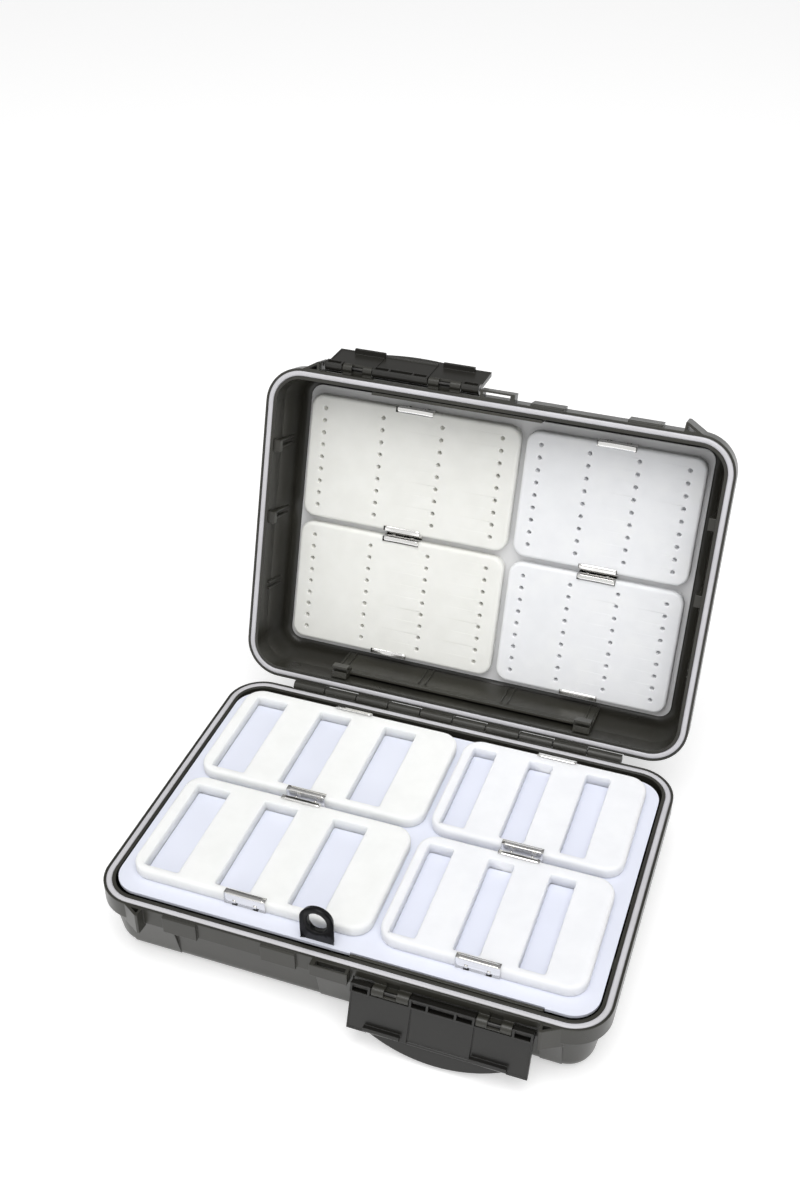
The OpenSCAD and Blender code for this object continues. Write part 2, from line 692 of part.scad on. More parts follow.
// the rear rail has a hook at each end for a tray pivot
module rear_rail() {
  half = rear_rail_w / 2;
  low = straight_h + lean_h;
  hook_h = 8;
  mouth = 1.6;
  rib = [0.7, 1.4];                    // width of a rib and half the gap between two
  rotate([0, 0, 180]) {
    bar(-half, half, -in_y) strip_profile(rear_rail_gap, rear_rail_top, low);
    rail_pads(-half, half, rear_rail_gap, straight_h + 8);
    for (x = [-half + 3, -22.5, 22.5, half - 3], dx = [-rib[1] - rib[0], rib[1]])
      bar(x + dx, x + dx + rib[0], -in_y)
        translate([-rib[0], 0]) strip_profile(rear_rail_gap, straight_h + 4, low);
    difference() {
      both_sides() translate([pivot_x, rail_gap - in_y, pivot_z + mouth - hook_h])
        cube([hook_x, in_y - rail_gap - pivot_y + hook_reach, hook_h]);
      translate([-half - 1, -pivot_y, pivot_z]) rotate([0, 90, 0])
        cylinder(r = pivot_r + play, h = 2 * half + 2);
      // mouth through which the pivot snaps in
      translate([-half - 1, -pivot_y - mouth / 2, pivot_z]) cube([2 * half + 2, mouth, hook_h]);
      // notch under the inner corner of each hook
      translate([-half - 1, -pivot_y + 0.2, pivot_z - hook_h + 1]) cube([2 * half + 2, 6, 3.4]);
    }
  }
}
module front_rail(x0, w) {
  bar(x0, x0 + w, -in_y) strip_profile(rail_gap, plate_drop, straight_h + 10);
  rail_pads(x0, x0 + w, rail_gap, straight_h + 2);
}
module base_rear_rail() { color(shell_color) in_case() rear_rail(); }
module lid_rear_rail() { color(shell_color) in_lid() flipped() rear_rail(); }
module base_front_rail() { color(shell_color) in_case() front_rail(front_rail_from, front_rail_w); }
module lid_front_rail() {
  color(shell_color) in_lid() flipped() front_rail(lid_rail_from, lid_rail_w);
}

// ---------------------------------------------------------------- foam
// a foam panel with a rounded top edge; its lower left corner is at the origin
module foam_block(w, d) {
  low = foam_t - foam_edge;
  inset = foam_edge + 1;
  translate([w / 2, d / 2, 0]) {
    slab(w, d, foam_r, 0, low);
    slab(w - 2 * inset, d - 2 * inset, foam_r - inset, low, foam_t);
    ring_of(w, d, foam_r) translate([0, low]) {
      intersection() {
        translate([-foam_edge, 0]) circle(foam_edge);
        translate([-foam_edge, 0]) square([foam_edge, foam_edge]);
      }
      translate([-inset - 1, 0]) square([inset + 1 - foam_edge, foam_edge]);
    }
  }
}
module slotted_foam(w, first, slot_w, pitch) {
  difference() {
    foam_block(w, tray_foam_d);
    for (i = [0:slot_n - 1]) translate([first + i * pitch, slot_front, -1])
      cube([slot_w, slot_len, foam_t + 2]);
  }
}
module holed_foam(w, first, pitch) {
  difference() {
    foam_block(w, board_foam_d);
    for (i = [0:row_n - 1], j = [0:hole_n - 1]) translate([first + i * pitch, hole_end + j * hole_pitch, 1])
      cylinder(r = hole_r, h = foam_t, $fn = 16);
  }
}
module tray_foam_left(y) {
  color("ivory") in_case() translate([tray_x0, y, plate_top])
    slotted_foam(tray_left_w, slot_left_first, slot_left_w, slot_left_pitch);
}
module tray_foam_right(y) {
  color("ghostwhite") in_case() translate([tray_x1, y, plate_top])
    slotted_foam(tray_right_w, slot_right_first, slot_right_w, slot_right_pitch);
}
// lid panels are drawn face up and then turned face down on the board
module on_board(x, y, d) {
  in_lid() translate([x, y + d, board_z]) rotate([180, 0, 0]) children();
}
module lid_foam_left(y) {
  color("ivory") on_board(board_x0, y, board_foam_d)
    holed_foam(board_left_w, row_left_first, row_left_pitch);
}
module lid_foam_right(y) {
  color("ghostwhite") on_board(board_x1, y, board_foam_d)
    holed_foam(board_right_w, row_right_first, row_right_pitch);
}

// ---------------------------------------------------------------- clips
// one leg of a clip: it stands on y = 0 with its foam towards +Y, the board's face at z = 0
module clip_leg() {
  bend = 0.9;
  foot = 2.4;
  lug = [1.4, 0.25];                   // height and thickness of the folded lugs
  low = -plate_t - clip_t;
  translate([-clip_w / 2, -clip_t, 0]) cube([clip_w, clip_t, foam_t + clip_t]);
  translate([-clip_w / 2, -clip_t, foam_t]) cube([clip_w, clip_reach + clip_t, clip_t]);
  for (x = [-1, 1] * clip_tab_pitch / 2) {
    translate([x - clip_tab_w / 2, -clip_t, low]) cube([clip_tab_w, clip_t, bend - low]);
    translate([x - clip_tab_w / 2, -clip_t, low]) cube([clip_tab_w, foot, clip_t]);
    translate([x - clip_tab_w / 2, -clip_t - lug[1], 1.6]) cube([clip_tab_w, lug[1] + eps, lug[0]]);
  }
}
module tab_slots() {
  slack = [0.1, 0.05];
  for (x = [-1, 1] * clip_tab_pitch / 2)
    translate([x - clip_tab_w / 2 - slack[0], -clip_t - slack[1], -plate_t - 1])
      cube([clip_tab_w + 2 * slack[0], clip_t + 2 * slack[1], plate_t + 2]);
}
// two legs joined by a web on the board, gap apart
module clip_pair(gap) {
  translate([0, gap, 0]) clip_leg();
  mirror([0, 1, 0]) clip_leg();
  translate([-clip_w / 2, 0, 0]) cube([clip_w, gap, clip_t]);
}
module front_leg(y) { translate([0, y, 0]) children(); }
module rear_leg(y) { translate([0, y, 0]) mirror([0, 1, 0]) children(); }

module tray_at(x) { translate([x, 0, plate_top]) children(); }
module board_at(x) { translate([x, 0, board_z]) mirror([0, 0, 1]) children(); }
module tray_clip(x, part) {
  color(steel_color) in_case() tray_at(x) {
    if (part == 0) front_leg(tray_front_y) clip_leg();
    if (part == 1) translate([0, tray_rear_y - foam_gap_y, 0]) clip_pair(foam_gap_y);
    if (part == 2) rear_leg(tray_rear_end) clip_leg();
  }
}
module board_clip(x, part) {
  color(steel_color) in_lid() board_at(x) {
    if (part == 0) front_leg(board_front_y) clip_leg();
    if (part == 1) translate([0, board_rear_y - board_gap_y, 0]) clip_pair(board_gap_y);
    if (part == 2) rear_leg(board_rear_end) clip_leg();
  }
}
module clip_slots(front_y, gap_y, gap, rear_y) {
  front_leg(front_y) tab_slots();
  translate([0, gap_y + gap, 0]) tab_slots();
  translate([0, gap_y, 0]) mirror([0, 1, 0]) tab_slots();
  rear_leg(rear_y) tab_slots();
}
module lid_board() {
  color("aliceblue") in_lid() difference() {
    slab(2 * board_x, 2 * board_y, in_r - in_lean - in_edge, board_z, board_z + plate_t);
    for (x = [board_left_clip, board_right_clip]) board_at(x)
      clip_slots(board_front_y, board_rear_y - board_gap_y, board_gap_y, board_rear_end);
  }
}

// sticky pads between the board and the lid's floor
module lid_board_pads() {
  pad = [30, 12];
  pad_in = 24;                         // centre of a pad from the board's edges
  color("#e8e8e8") in_lid() for (sx = [-1, 1], sy = [-1, 1])
    translate([sx * (board_x - pad_in) - pad[0] / 2, sy * (board_y - pad_in) - pad[1] / 2, board_z + plate_t])
      cube([pad[0], pad[1], pad_t]);
}

// ---------------------------------------------------------------- tray
ring_y = plate_front + 2.8;
stem_r = 1.1;
stems = [-3.5, 3.5];
module tray_plate() {
  rail_notch = 0.7;
  color("lavender") in_case() difference() {
    translate([0, (plate_front + plate_rear) / 2, 0])
      slab(plate_w, plate_rear - plate_front, plate_r, plate_low, plate_top);
    // step along the front rail
    translate([front_rail_from - fit_gap, plate_front - 1, plate_low - 1])
      cube([front_rail_w + 2 * fit_gap, 1 + rail_notch, plate_t + 2]);
    // room for the pivot hooks
    both_sides() translate([pivot_x - fit_gap, pivot_y - hook_reach - fit_gap, plate_low - 1])
      cube([hook_x + 2 * fit_gap, hook_reach + fit_gap + 1, plate_t + 2]);
    for (x = [tray_left_clip, tray_right_clip]) tray_at(x)
      clip_slots(tray_front_y, tray_rear_y - foam_gap_y, foam_gap_y, tray_rear_end);
    for (x = stems) translate([ring_x + x, ring_y, plate_low - 1])
      cylinder(r = stem_r + 0.1, h = plate_t + 2);
  }
}
// blocks under the rear edge of the tray plate that turn on the pivots
module tray_hinge(s) {
  x0 = s * (pivot_x - hinge_block_w / 2) - hinge_block_w / 2 + side_gap;
  length = hinge_block_w - 2 * side_gap;
  half = pivot_r + 1.2;
  drop = pivot_r + 0.7;
  lip = 1.2;
  color("#3a3a3a") in_case() difference() {
    union() {
      translate([x0, pivot_y - half, pivot_z - drop]) cube([length, 2 * half, plate_low - pivot_z + drop]);
      translate([x0, plate_rear, plate_low - eps]) cube([length, lip, plate_t + eps]);
    }
    translate([x0 - 1, pivot_y, pivot_z]) rotate([0, 90, 0]) cylinder(r = pivot_r, h = length + 2);
  }
}
module tray_hinge_left() { tray_hinge(-1); }
module tray_hinge_right() { tray_hinge(1); }
module tray_pivot(s) {
  length = hinge_block_w + 6;
  x0 = s * (pivot_x - hinge_block_w + 1 + length / 2) - length / 2;
  color(steel_color) in_case() translate([x0, pivot_y, pivot_z])
    rotate([0, 90, 0]) cylinder(r = pivot_r, h = length);
}
module tray_pivot_left() { tray_pivot(-1); }
module tray_pivot_right() { tray_pivot(1); }

module finger_ring() {
  eye_r = 4.7;
  eye_z = ring_h - ring_w / 2 - 1.5;
  color("#222226") in_case() translate([ring_x, ring_y, plate_top]) {
    rotate([90, 0, 0]) linear_extrude(ring_t, center = true) difference() {
      union() {
        translate([-ring_w / 2, 0]) square([ring_w, ring_h - ring_w / 2]);
        translate([0, ring_h - ring_w / 2]) circle(ring_w / 2);
      }
      translate([0, eye_z - 1]) circle(eye_r);
      translate([0, eye_z + 1]) circle(eye_r);
      translate([-eye_r, eye_z - 1]) square([2 * eye_r, 2]);
    }
  }
}
// stems that hold the ring from below the plate
module ring_rivets() {
  head_t = 0.8;
  color("#3a3a3a") in_case() for (x = stems) translate([ring_x + x, ring_y, plate_low - head_t]) {
    cylinder(r = 2 * stem_r, h = head_t);
    cylinder(r = stem_r, h = head_t + plate_t);
  }
}

base_shell();
base_gasket();
base_feet();
hinge_pin();
base_latch_pin();
base_rear_rail();
base_front_rail();
lid_shell();
lid_gasket();
lid_latch_pin();
lid_rear_rail();
lid_front_rail();
lid_board();
lid_board_pads();
lid_foam_left(board_front_y);  // lid_foam_front_left
lid_foam_right(board_front_y);  // lid_foam_front_right
lid_foam_left(board_rear_y);  // lid_foam_rear_left
lid_foam_right(board_rear_y);  // lid_foam_rear_right
board_clip(board_left_clip, 0);  // lid_front_clip_left
board_clip(board_right_clip, 0);  // lid_front_clip_right
board_clip(board_left_clip, 1);  // lid_mid_clip_left
board_clip(board_right_clip, 1);  // lid_mid_clip_right
board_clip(board_left_clip, 2);  // lid_rear_clip_left
board_clip(board_right_clip, 2);  // lid_rear_clip_right
base_latch();
lid_latch();
tray_plate();
tray_foam_left(tray_front_y);  // tray_foam_front_left
tray_foam_right(tray_front_y);  // tray_foam_front_right
tray_foam_left(tray_rear_y);  // tray_foam_rear_left
tray_foam_right(tray_rear_y);  // tray_foam_rear_right
tray_clip(tray_left_clip, 0);  // tray_front_clip_left
tray_clip(tray_right_clip, 0);  // tray_front_clip_right
tray_clip(tray_left_clip, 1);  // tray_mid_clip_left
tray_clip(tray_right_clip, 1);  // tray_mid_clip_right
tray_clip(tray_left_clip, 2);  // tray_rear_clip_left
tray_clip(tray_right_clip, 2);  // tray_rear_clip_right
tray_hinge_left();
tray_hinge_right();
tray_pivot_left();
tray_pivot_right();
finger_ring();
ring_rivets();
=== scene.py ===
# %% [markdown]
# # A waterproof fly box, dressed for its portrait
# The box is two equal plastic shells on one rear hinge, open like a book. The base holds a tray
# with slotted white foam, and the lid holds pierced white foam. The moulded parts arrive from the
# engineering model as a fixed frame and get their finishes here. The foam, the steel clips and the
# finger ring are modelled again, as soft, bent and rounded things.

# %% Load the frame
import json
import math

import bmesh
import bpy
from mathutils import Matrix, Vector
from mathutils.geometry import tessellate_polygon


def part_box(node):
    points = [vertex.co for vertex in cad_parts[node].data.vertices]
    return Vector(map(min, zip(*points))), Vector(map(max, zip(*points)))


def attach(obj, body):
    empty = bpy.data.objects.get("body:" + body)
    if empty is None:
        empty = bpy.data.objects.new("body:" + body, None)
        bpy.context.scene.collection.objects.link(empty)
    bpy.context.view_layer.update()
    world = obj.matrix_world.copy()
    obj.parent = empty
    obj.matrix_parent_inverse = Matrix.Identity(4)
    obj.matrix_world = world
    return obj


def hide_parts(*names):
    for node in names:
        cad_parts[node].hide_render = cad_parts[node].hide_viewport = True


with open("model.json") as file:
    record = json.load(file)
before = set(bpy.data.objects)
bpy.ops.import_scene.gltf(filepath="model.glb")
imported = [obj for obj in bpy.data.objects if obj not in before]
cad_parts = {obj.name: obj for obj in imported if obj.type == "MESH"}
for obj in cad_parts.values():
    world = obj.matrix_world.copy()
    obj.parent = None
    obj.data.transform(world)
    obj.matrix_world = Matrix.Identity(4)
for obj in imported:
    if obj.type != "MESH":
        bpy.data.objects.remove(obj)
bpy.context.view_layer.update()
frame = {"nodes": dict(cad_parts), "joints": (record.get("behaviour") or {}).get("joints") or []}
nodes = frame["nodes"]
MM = 0.001

# %% [markdown]
# ## Where things are
# The lid stands open, leaning back on its hinge, which makes its foam awkward to place. It is
# easier to think of the lid as it lies when shut, flat over the base, and to turn the finished
# piece up at the very end. The lid joint knows its axis and how far it closes, and that is all the
# turn needs.

# %% The lid's own level frame
lid_joint = next(j for j in frame["joints"] if j["name"] == "lid_hinge")
hinge = Vector(lid_joint["pos_m"])
open_angle = math.radians(lid_joint["range_deg"][1])
opening = Matrix.Rotation(-open_angle, 4, "X")
lid_up = Matrix.Translation(hinge) @ opening @ Matrix.Translation(-hinge)
level = Matrix.Identity(4)


def box_in(node, place):
    """Lowest and highest corner of a node, measured in the level frame that `place` turns up."""
    back = place.inverted()
    corners = [back @ v.co for v in nodes[node].data.vertices]
    low = Vector([min(c[i] for c in corners) for i in range(3)])
    high = Vector([max(c[i] for c in corners) for i in range(3)])
    return low, high


print("the lid is open by", round(math.degrees(open_angle), 1), "degrees")

# %% [markdown]
# ## Camera
# The photograph looks down on the box from the front right, from about 0.7 m away. The angles and
# the lens were found by matching the rim, the seal lines and the hinge line, so the model lands on
# the photo.

# %% Set up the camera
camera_data = bpy.data.cameras.new("photo_camera")
camera_data.lens = 41.98
camera_data.sensor_width = 36
camera_data.clip_start = 0.01
camera = bpy.data.objects.new("photo_camera", camera_data)
camera.location = (0.15565, -0.48130, 0.50563)
camera.rotation_euler = (math.radians(54.39), math.radians(-0.21), math.radians(19.47))
bpy.context.scene.collection.objects.link(camera)
bpy.context.scene.camera = camera
print("camera", round(camera.location.length, 2), "m from the origin")

# %% [markdown]
# ## Table, backdrop and light
# The picture is a catalogue shot: a white sweep, big soft lamps, and only a breath of shadow. The
# floor is a white sheet. To the camera it adds a little glow of its own, so that it reads as paper
# white while the box still leaves its shadow on it. The lamps stay at a level where a colour
# renders as it is written. The room is bright in front and dim behind the box, which is what the
# steel of the clips mirrors.

# %% White floor that keeps the shadow
def glow_for_camera(material, strength):
    """Adds light that only the camera and mirror-like surfaces see."""
    tree = material.node_tree
    output = tree.nodes["Material Output"]
    shaded = output.inputs["Surface"].links[0].from_socket
    path = tree.nodes.new("ShaderNodeLightPath")
    seen = tree.nodes.new("ShaderNodeMath")
    seen.operation = "MAXIMUM"
    tree.links.new(path.outputs["Is Camera Ray"], seen.inputs[0])
    tree.links.new(path.outputs["Is Glossy Ray"], seen.inputs[1])
    glow = tree.nodes.new("ShaderNodeEmission")
    glow.inputs["Strength"].default_value = strength
    both = tree.nodes.new("ShaderNodeAddShader")
    tree.links.new(shaded, both.inputs[0])
    tree.links.new(glow.outputs[0], both.inputs[1])
    choose = tree.nodes.new("ShaderNodeMixShader")
    tree.links.new(seen.outputs[0], choose.inputs[0])
    tree.links.new(shaded, choose.inputs[1])
    tree.links.new(both.outputs[0], choose.inputs[2])
    tree.links.new(choose.outputs[0], output.inputs["Surface"])


PAPER_GLOW = 0.45
paper = bpy.data.materials.new("white_paper")
paper.use_nodes = True
paper.node_tree.nodes["Principled BSDF"].inputs["Base Color"].default_value = (0.8, 0.8, 0.8, 1)
paper.node_tree.nodes["Principled BSDF"].inputs["Roughness"].default_value = 0.9
glow_for_camera(paper, PAPER_GLOW)

FLOOR_REACH = 4.0  # metres from the middle of the sheet to its edge
sheet = bmesh.new()
bmesh.ops.create_grid(sheet, x_segments=1, y_segments=1, size=FLOOR_REACH)
floor_mesh = bpy.data.meshes.new("floor")
sheet.to_mesh(floor_mesh)
sheet.free()
floor = bpy.data.objects.new("floor", floor_mesh)
floor.data.materials.append(paper)
bpy.context.scene.collection.objects.link(floor)
print("floor", floor.dimensions[:2])

# %% Soft studio light
ROOM_FRONT = 0.82  # brightness of the room in front of the box
ROOM_REAR = 0.24   # and behind it
ROOM_BLEND = 0.7   # Y of the directions between which one turns into the other
world = bpy.data.worlds.new("studio")
bpy.context.scene.world = world
world.use_nodes = True
sky = world.node_tree
room = sky.nodes["Background"]
room.inputs["Color"].default_value = (1, 1, 1, 1)
direction = sky.nodes.new("ShaderNodeTexCoord")
parts = sky.nodes.new("ShaderNodeSeparateXYZ")
falloff = sky.nodes.new("ShaderNodeMapRange")
falloff.inputs["From Min"].default_value = -ROOM_BLEND
falloff.inputs["From Max"].default_value = ROOM_BLEND
falloff.inputs["To Min"].default_value = ROOM_FRONT
falloff.inputs["To Max"].default_value = ROOM_REAR
sky.links.new(direction.outputs["Generated"], parts.inputs["Vector"])
sky.links.new(parts.outputs["Y"], falloff.inputs["Value"])
sky.links.new(falloff.outputs["Result"], room.inputs["Strength"])
white = sky.nodes.new("ShaderNodeBackground")
white.inputs["Color"].default_value = (1, 1, 1, 1)
white.inputs["Strength"].default_value = 1.0
ray = sky.nodes.new("ShaderNodeLightPath")
pick = sky.nodes.new("ShaderNodeMixShader")
sky.links.new(ray.outputs["Is Camera Ray"], pick.inputs[0])
sky.links.new(room.outputs[0], pick.inputs[1])
sky.links.new(white.outputs[0], pick.inputs[2])
sky.links.new(pick.outputs[0], sky.nodes["World Output"].inputs["Surface"])


def soft_lamp(name, place, aim, size, watts):
    """A square soft box that looks at a point."""
    lamp = bpy.data.lights.new(name, "AREA")
    lamp.energy = watts
    lamp.size = size
    holder = bpy.data.objects.new(name, lamp)
    holder.location = place
    holder.rotation_euler = (Vector(aim) - Vector(place)).to_track_quat("-Z", "Y").to_euler()
    bpy.context.scene.collection.objects.link(holder)


soft_lamp("key", (0.2, -0.42, 1.4), (0, 0, 0.05), 1.1, 11.5)
soft_lamp("overhead", (-0.2, 0.1, 1.6), (0, 0, 0), 1.4, 2)

# %% [markdown]
# ## A small kit for materials
# Every finish here is a Principled shader whose colour is broken up by noise, and most also have a
# fine bump. Patterns read object coordinates, which are the frame's own metres, so grain has the
# same size on every piece.

# %% Material kit
def finish(name, roughness, metallic=0.0, specular=0.5):
    """A new material with its node tree and its shader."""
    material = bpy.data.materials.new(name)
    material.use_nodes = True
    shader = material.node_tree.nodes["Principled BSDF"]
    shader.inputs["Roughness"].default_value = roughness
    shader.inputs["Metallic"].default_value = metallic
    shader.inputs["Specular IOR Level"].default_value = specular
    return material, material.node_tree, shader


def srgb(*rgb):
    """A colour as a picture editor shows it, 0 to 255, as linear light."""
    light = [(c / 255 / 12.92) if c < 10.3 else ((c / 255 + 0.055) / 1.055) ** 2.4 for c in rgb]
    return (*light, 1)


def noise(tree, grain, detail=3.0, stretch=(1, 1, 1)):
    """Noise whose lumps are `grain` metres across."""
    place = tree.nodes.new("ShaderNodeTexCoord")
    mapping = tree.nodes.new("ShaderNodeMapping")
    mapping.inputs["Scale"].default_value = stretch
    texture = tree.nodes.new("ShaderNodeTexNoise")
    texture.inputs["Scale"].default_value = 1 / grain
    texture.inputs["Detail"].default_value = detail
    tree.links.new(place.outputs["Object"], mapping.inputs["Vector"])
    tree.links.new(mapping.outputs["Vector"], texture.inputs["Vector"])
    return texture.outputs["Fac"]


def two_tone(tree, shader, factor, dark, light, low=0.35, high=0.65):
    """Base colour that drifts between two tones."""
    ramp = tree.nodes.new("ShaderNodeValToRGB")
    ramp.color_ramp.elements[0].position = low
    ramp.color_ramp.elements[0].color = dark
    ramp.color_ramp.elements[1].position = high
    ramp.color_ramp.elements[1].color = light
    tree.links.new(factor, ramp.inputs["Fac"])
    tree.links.new(ramp.outputs["Color"], shader.inputs["Base Color"])


def roughen(tree, shader, factor, low, high):
    """Roughness that wanders between two values."""
    spread = tree.nodes.new("ShaderNodeMapRange")
    spread.inputs["To Min"].default_value = low
    spread.inputs["To Max"].default_value = high
    tree.links.new(factor, spread.inputs["Value"])
    tree.links.new(spread.outputs["Result"], shader.inputs["Roughness"])


def bump(tree, shader, factor, height):
    """Surface relief, `height` metres from low to high."""
    relief = tree.nodes.new("ShaderNodeBump")
    relief.inputs["Distance"].default_value = height
    tree.links.new(factor, relief.inputs["Height"])
    tree.links.new(relief.outputs["Normal"], shader.inputs["Normal"])
    return relief


def dress(material, *names):
    """Puts a material on CAD nodes."""
    for name in names:
        nodes[name].data.materials.clear()
        nodes[name].data.materials.append(material)


print("material kit ready")

# %% [markdown]
# ## Shell plastic
# The shells, latches and rails are moulded ABS in a dark olive grey. The mould's spark-eroded face
# leaves a fine even grain that scatters the highlights, and handling leaves slightly smoother and
# rougher patches. A moulding has no knife edges, so the shader rounds every edge by half a
# millimetre and lets it catch light. The latches are darker than the shells. The two latches are
# one plastic in two tones for how light falls on them: the base's is darker as painted shade, and
# the lid's is lighter as painted light.

# %% Shell, latch and rail plastic
EDGE_ROUND = 0.5 * MM


def soften_edges(tree, relief, radius):
    """Shades the edges as if they were rounded by `radius`."""
    rounder = tree.nodes.new("ShaderNodeBevel")
    rounder.samples = 6
    rounder.inputs["Radius"].default_value = radius
    tree.links.new(rounder.outputs["Normal"], relief.inputs["Normal"])


def olive_plastic(name, dark, light, smooth, rough):
    """Moulded plastic between two tones and two roughnesses."""
    material, tree, shader = finish(name, smooth)
    two_tone(tree, shader, noise(tree, 0.03, 4), dark, light)
    roughen(tree, shader, noise(tree, 0.012, 3), smooth, rough)
    relief = bump(tree, shader, noise(tree, 0.00045, 2), 0.00002)
    soften_edges(tree, relief, EDGE_ROUND)
    return material


PLASTICS = {  # dark tone, light tone, smooth, rough, nodes
    "shell_plastic": ((46, 45, 40), (51, 50, 44), 0.24, 0.36, ["base_shell", "lid_shell"]),
    # the base latch's darker tone is painted shade and the lid latch's lighter tone is painted
    # light; both latches are one plastic
    "base_latch_painted_shade_plastic": ((25, 24, 22), (30, 29, 26), 0.24, 0.36, ["base_latch"]),
    "lid_latch_painted_light_plastic": ((37, 36, 33), (42, 41, 37), 0.24, 0.36, ["lid_latch"]),
    "rail_plastic": ((50, 49, 43), (55, 54, 47), 0.28, 0.4,
                     ["base_rear_rail", "base_front_rail", "lid_rear_rail", "lid_front_rail"]),
}
for name, (dark, light, smooth, rough, dressed) in PLASTICS.items():
    dress(olive_plastic(name, srgb(*dark), srgb(*light), smooth, rough), *dressed)
print("olive plastics", list(PLASTICS))

# %% [markdown]
# ## Seal, sheets, steel and rubber
# The seal is a soft silicone cord. The tray plate is satin sheet with a cold, faintly violet white;
# the lid board is satin sheet in a greyer, neutral white, painted shade for the deep strip round
# the lid's foam. The clips are polished spring steel with drawing lines, and the pins are steel
# painted nearly black, as painted shade for the deep windows and sockets they sit in.

# %% Seal and sheets
seal, tree, shader = finish("seal_silicone", 0.45)
two_tone(tree, shader, noise(tree, 0.02, 2), srgb(196, 195, 198), srgb(205, 204, 208))
bump(tree, shader, noise(tree, 0.0006, 2), 0.00002)
dress(seal, "base_gasket", "lid_gasket")

sheet_plastic, tree, shader = finish("white_sheet", 0.35)
two_tone(tree, shader, noise(tree, 0.05, 2), srgb(226, 229, 241), srgb(231, 234, 246))
roughen(tree, shader, noise(tree, 0.01, 3), 0.3, 0.42)
dress(sheet_plastic, "tray_plate")

# the lid board's greyer, neutral white is painted shade for the deep strip round the lid's foam
board_plastic, tree, shader = finish("white_board", 0.4)
two_tone(tree, shader, noise(tree, 0.05, 2), srgb(224, 224, 224), srgb(229, 229, 230))
roughen(tree, shader, noise(tree, 0.01, 3), 0.35, 0.45)
dress(board_plastic, "lid_board")
print("sheets", sheet_plastic.name, board_plastic.name)

# %% Steel, rubber, nylon and pads
clip_steel, tree, shader = finish("spring_steel", 0.12, metallic=1.0)
drawn = noise(tree, 0.0008, 2, stretch=(0.05, 1, 1))
two_tone(tree, shader, drawn, srgb(232, 231, 228), srgb(243, 242, 240))
roughen(tree, shader, noise(tree, 0.002, 2), 0.08, 0.15)

# the pins are steel painted nearly black: painted shade for the deep windows and sockets they sit
# in
pin_steel, tree, shader = finish("shade_darkened_pin", 0.4, metallic=1.0)
two_tone(tree, shader, noise(tree, 0.004, 2), srgb(60, 60, 60), srgb(78, 77, 75))
dress(pin_steel, *[n for n in nodes if n.endswith("pin") or "pivot" in n])

nylon, tree, shader = finish("black_nylon", 0.38, specular=0.25)
two_tone(tree, shader, noise(tree, 0.01, 3), srgb(8, 8, 10), srgb(13, 13, 15))
bump(tree, shader, noise(tree, 0.0004, 2), 0.00001)
dress(nylon, "ring_rivets", "tray_hinge_left", "tray_hinge_right")

rubber, tree, shader = finish("foot_rubber", 0.7)
two_tone(tree, shader, noise(tree, 0.006, 3), srgb(32, 32, 32), srgb(42, 42, 41))
bump(tree, shader, noise(tree, 0.0005, 2), 0.00004)
dress(rubber, "base_feet")

adhesive, tree, shader = finish("adhesive_pad", 0.7)
two_tone(tree, shader, noise(tree, 0.005, 2), srgb(225, 225, 225), srgb(235, 235, 235))
dress(adhesive, "lid_board_pads")
print("finishes", len(bpy.data.materials))

# %% [markdown]
# ## Foam
# Closed-cell foam glows a little, because light wanders inside it before it comes out, so its walls
# look nearly as bright as its face. It also has a skin of tiny cells. The left panels are a warmer
# white than the right.

# %% Foam material
def foam(name, dark, light, wander):
    """White foam in which light wanders `wander` metres."""
    material, tree, shader = finish(name, 0.8, specular=0.25)
    two_tone(tree, shader, noise(tree, 0.012, 3), dark, light)
    shader.inputs["Subsurface Weight"].default_value = 1.0
    shader.inputs["Subsurface Radius"].default_value = (1, 1, 1)
    shader.inputs["Subsurface Scale"].default_value = wander
    bump(tree, shader, noise(tree, 0.0005, 3), 0.00003)
    return material


TRAY_WANDER = 0.004
LID_WANDER = 0.001
tray_foams = {  # material and slot of the foam on each side
    "left": (foam("tray_foam_warm", srgb(240, 241, 239), srgb(244, 245, 243), TRAY_WANDER),
             "foam_warm"),
    "right": (foam("tray_foam_cool", srgb(238, 239, 242), srgb(242, 243, 246), TRAY_WANDER),
              "foam_cool"),
}
lid_foams = {
    "left": (foam("lid_foam_warm", srgb(240, 240, 235), srgb(244, 244, 239), LID_WANDER),
             "foam_warm"),
    "right": (foam("lid_foam_cool", srgb(240, 241, 243), srgb(244, 245, 247), LID_WANDER),
              "foam_cool"),
}
print("foams", [f[0].name for f in (*tray_foams.values(), *lid_foams.values())])

# %% [markdown]
# ## Outlines
# A foam panel is a rounded rectangle with openings cut in it. Every outline here is a closed loop
# of points, and a loop can grow or shrink by a step, which is how its edge gets round: the loop
# rises as it steps in.

# %% Loops
SMALLEST_CORNER = 0.0002


def round_loop(middle, half, radius, grow=0.0, steps=6):
    """Points of a rounded rectangle, counter-clockwise, grown outwards by `grow`."""
    radius = max(radius + grow, SMALLEST_CORNER)
    reach = (half[0] + grow - radius, half[1] + grow - radius)
    points = []
    for quarter, (sx, sy) in enumerate([(1, 1), (-1, 1), (-1, -1), (1, -1)]):
        for i in range(steps + 1):
            turn = math.pi / 2 * (quarter + i / steps)
            points.append((middle[0] + sx * reach[0] + radius * math.cos(turn),
                           middle[1] + sy * reach[1] + radius * math.sin(turn)))
    return points


def edge_steps(radius, steps):
    """How far a round edge has stepped in, and how far it has risen, from its wall to its top."""
    turns = [math.pi / 2 * i / steps for i in range(steps + 1)]
    return [(radius * (1 - math.cos(t)), radius * math.sin(t)) for t in turns]


def add_loop(mesh, points, height):
    """New vertices for a loop of points at one height."""
    return [mesh.verts.new((x, y, height)) for x, y in points]


